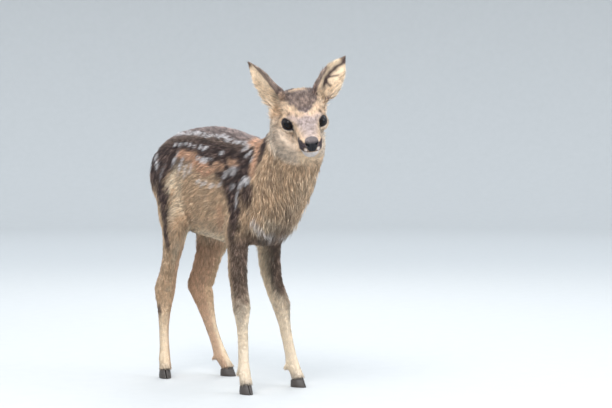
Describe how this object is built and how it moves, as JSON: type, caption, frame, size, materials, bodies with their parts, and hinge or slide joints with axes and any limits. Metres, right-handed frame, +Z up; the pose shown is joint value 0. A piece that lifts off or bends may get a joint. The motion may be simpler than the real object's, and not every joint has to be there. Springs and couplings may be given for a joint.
{
  "type": "roe deer fawn model",
  "caption": "Life-size still model of a spotted roe deer fawn standing on its own feet, head turned a little to its right, ears raised.",
  "frame": {"origin": "on the floor, under the middle of the whole model's bounding box", "axes": "+Z up, -Y the way the trunk faces, +X the fawn's left side"},
  "size_m": [0.154, 0.5418, 0.5587],
  "materials": {
    "coat_brown": "fur",
    "coat_dark": "fur",
    "coat_buff": "fur",
    "coat_cream": "fur",
    "eye": "wet gloss",
    "horn": "satin"
  },
  "bodies": {
    "root": {"claw_fore_left_inner": "horn", "claw_fore_left_outer": "horn", "claw_fore_right_inner": "horn", "claw_fore_right_outer": "horn", "claw_hind_left_inner": "horn", "claw_hind_left_outer": "horn", "claw_hind_right_inner": "horn", "claw_hind_right_outer": "horn", "ear_left": "coat_brown", "ear_right": "coat_brown", "eye_left": "eye", "eye_right": "eye", "foreleg_left_lower": "coat_cream", "foreleg_left_upper": "coat_buff", "foreleg_right_lower": "coat_cream", "foreleg_right_upper": "coat_buff", "head": "coat_buff", "hindleg_left_lower": "coat_cream", "hindleg_left_upper": "coat_buff", "hindleg_right_lower": "coat_cream", "hindleg_right_upper": "coat_buff", "neck": "coat_buff", "tail": "coat_buff", "trunk": "coat_dark"}
  },
  "joints": []
}
